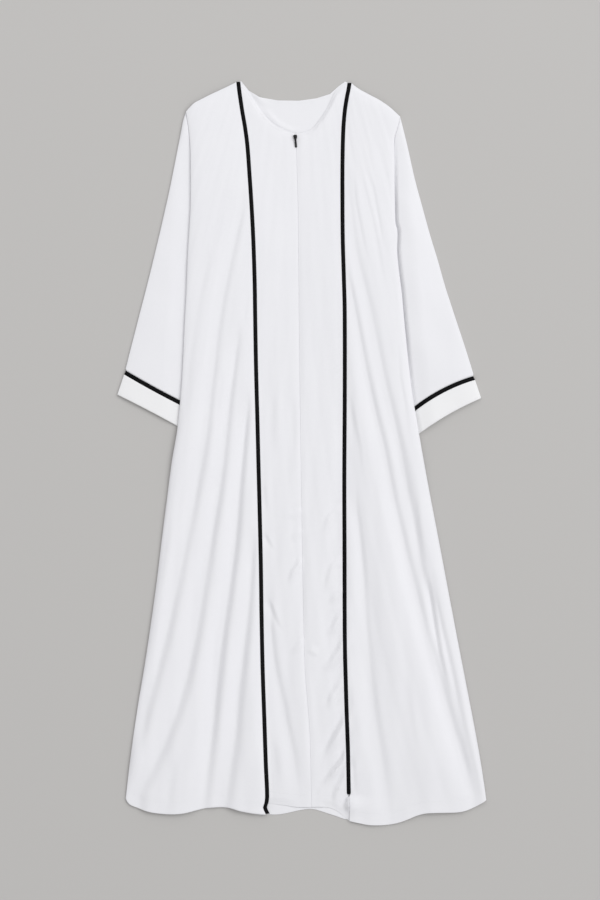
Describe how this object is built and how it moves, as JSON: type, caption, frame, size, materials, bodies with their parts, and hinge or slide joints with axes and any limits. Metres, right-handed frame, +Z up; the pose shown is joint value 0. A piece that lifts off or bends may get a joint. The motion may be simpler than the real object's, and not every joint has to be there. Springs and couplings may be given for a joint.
{
  "type": "abaya",
  "caption": "Long white abaya with black piped front seams and cuffs and a zip at the neck, laid flat on its back with its sleeves down.",
  "frame": {"origin": "centre of the bounding box's underside, on the surface that the abaya lies on", "axes": "+Y from the hem towards the neck, +X towards the right sleeve as seen from above, +Z up out of the garment's front"},
  "size_m": [0.703, 1.4175, 0.0146],
  "materials": {
    "cloth": "matte crepe with a soft sheen",
    "cuff_cloth": "matte crepe, doubled and stitched",
    "piping": "black satin",
    "zip_metal": "black enamel, semi-gloss"
  },
  "bodies": {
    "garment": {"back": "cloth", "front_centre_left": "cloth", "front_centre_right": "cloth", "front_side_left": "cloth", "front_side_right": "cloth", "piping_front_left": "piping", "piping_front_right": "piping", "sleeve_left": "cloth", "sleeve_right": "cloth", "piping_cuff_left": "piping", "piping_cuff_right": "piping", "cuff_left": "cuff_cloth", "cuff_right": "cuff_cloth", "zip_slider": "zip_metal"},
    "zip_pull": {"zip_pull": "zip_metal"}
  },
  "joints": [
    {"name": "pull_hinge", "type": "hinge", "parent": "garment", "child": "zip_pull", "pos_m": [-0.0125, 0.602, 0.00878], "axis": [-0.9968, -0.0802, 0], "range_deg": [0, 170]}
  ]
}
